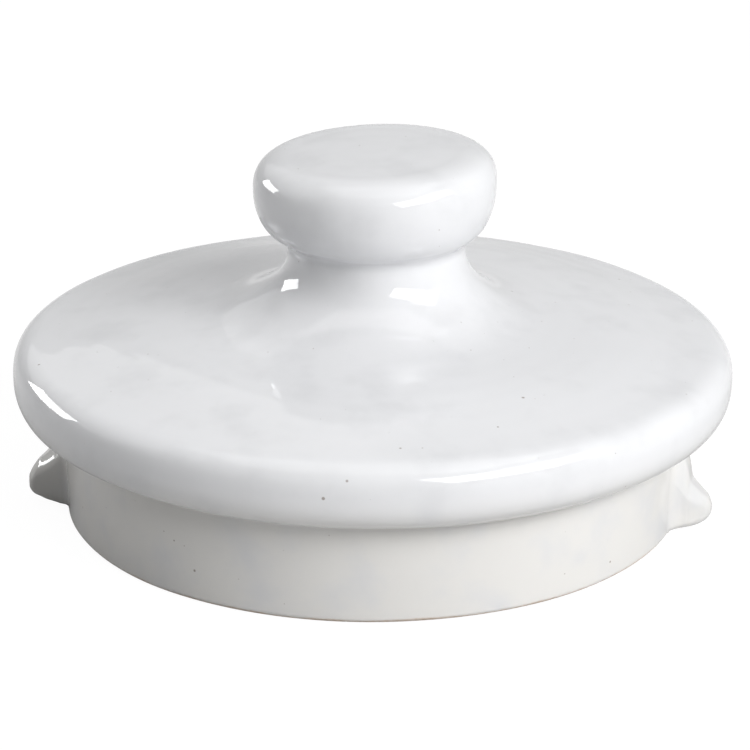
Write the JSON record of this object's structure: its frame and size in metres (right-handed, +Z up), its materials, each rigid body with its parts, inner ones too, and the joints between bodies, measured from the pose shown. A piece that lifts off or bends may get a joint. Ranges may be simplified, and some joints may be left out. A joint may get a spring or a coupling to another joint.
{
  "type": "pot lid",
  "caption": "Round glazed lid for a pot: domed cover with a rolled rim, flat-topped knob, locating skirt and two locking lugs.",
  "frame": {"origin": "centre of the skirt's foot, where the lid stands on a table", "axes": "+Z up along the turning axis through the knob; -Y is the front; the right lug lies 6.5 degrees from +X towards the front, the left lug 6.5 degrees from -X towards the front"},
  "size_m": [0.1, 0.1, 0.051],
  "materials": {
    "white_glaze": "glossy opaque white glaze with sparse fine iron specks, bare clay on the foot"
  },
  "bodies": {
    "root": {"cover": "white_glaze", "skirt": "white_glaze", "knob": "white_glaze", "lug_left": "white_glaze", "lug_right": "white_glaze"}
  },
  "joints": []
}
